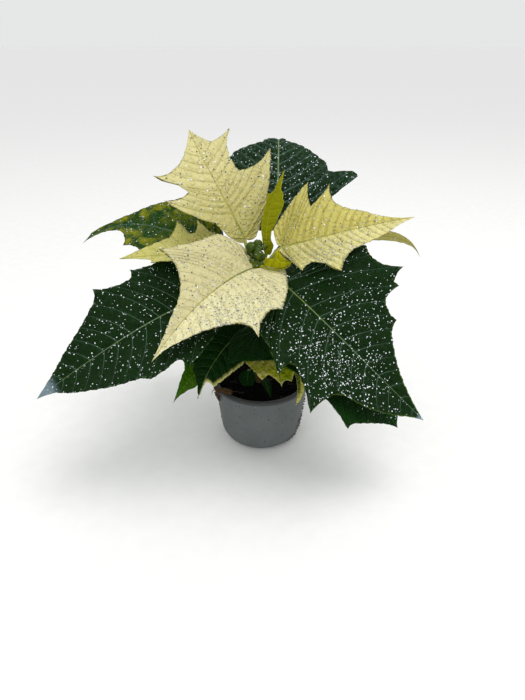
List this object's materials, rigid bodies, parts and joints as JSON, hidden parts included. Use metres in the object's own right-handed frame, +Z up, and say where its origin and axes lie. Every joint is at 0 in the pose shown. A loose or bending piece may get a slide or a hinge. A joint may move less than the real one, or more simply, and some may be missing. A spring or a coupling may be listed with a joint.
{
  "type": "potted poinsettia",
  "caption": "Potted poinsettia: cream pointed bracts round a bud cluster above broad lobed green leaves, on a woody stem in a small round nursery pot of soil.",
  "frame": {"origin": "middle of the pot's flat base, on the floor", "axes": "+Z up along the pot's axis, -Y towards the plant's front, where the lowest cream bract points, +X to the plant's right as seen from the front"},
  "size_m": [0.234, 0.1835, 0.2032],
  "materials": {
    "pot_plastic": "matte grey plastic",
    "peat_soil": "dark crumbly peat",
    "stem_bark": "dull green bark",
    "bud_green": "smooth waxy plant tissue",
    "dry_leaf": "dry curled leaf",
    "bract_cream": "soft matte plant tissue with fine veins",
    "bract_olive": "soft matte plant tissue with fine veins",
    "bract_young": "soft satin plant tissue",
    "leaf_green": "satin leaf with pale veins and glitter",
    "leaf_bright": "satin leaf with pale veins",
    "leaf_mottled": "satin leaf mottled green and yellow"
  },
  "bodies": {
    "root": {"pot": "pot_plastic", "soil": "peat_soil", "stem": "stem_bark", "flower_buds": "bud_green", "leaf_withered": "dry_leaf", "bract_upper_left": "bract_cream", "bract_front": "bract_cream", "bract_right": "bract_cream", "bract_back_left": "bract_olive", "bract_back_right": "bract_olive", "young_bract_upright": "bract_young", "young_bract_cup": "bract_young", "leaf_front_right": "leaf_green", "leaf_left": "leaf_green", "leaf_back": "leaf_green", "leaf_back_left": "leaf_mottled", "leaf_front_left_low": "leaf_green", "leaf_left_low": "leaf_bright", "leaf_right_low": "leaf_green", "leaf_front_low": "leaf_mottled", "leaf_hooked_low": "leaf_mottled", "leaf_hidden_back_right": "leaf_green", "leaf_hidden_back_left": "leaf_green", "leaf_basal_round": "leaf_green", "leaf_basal_narrow": "leaf_green"}
  },
  "joints": []
}
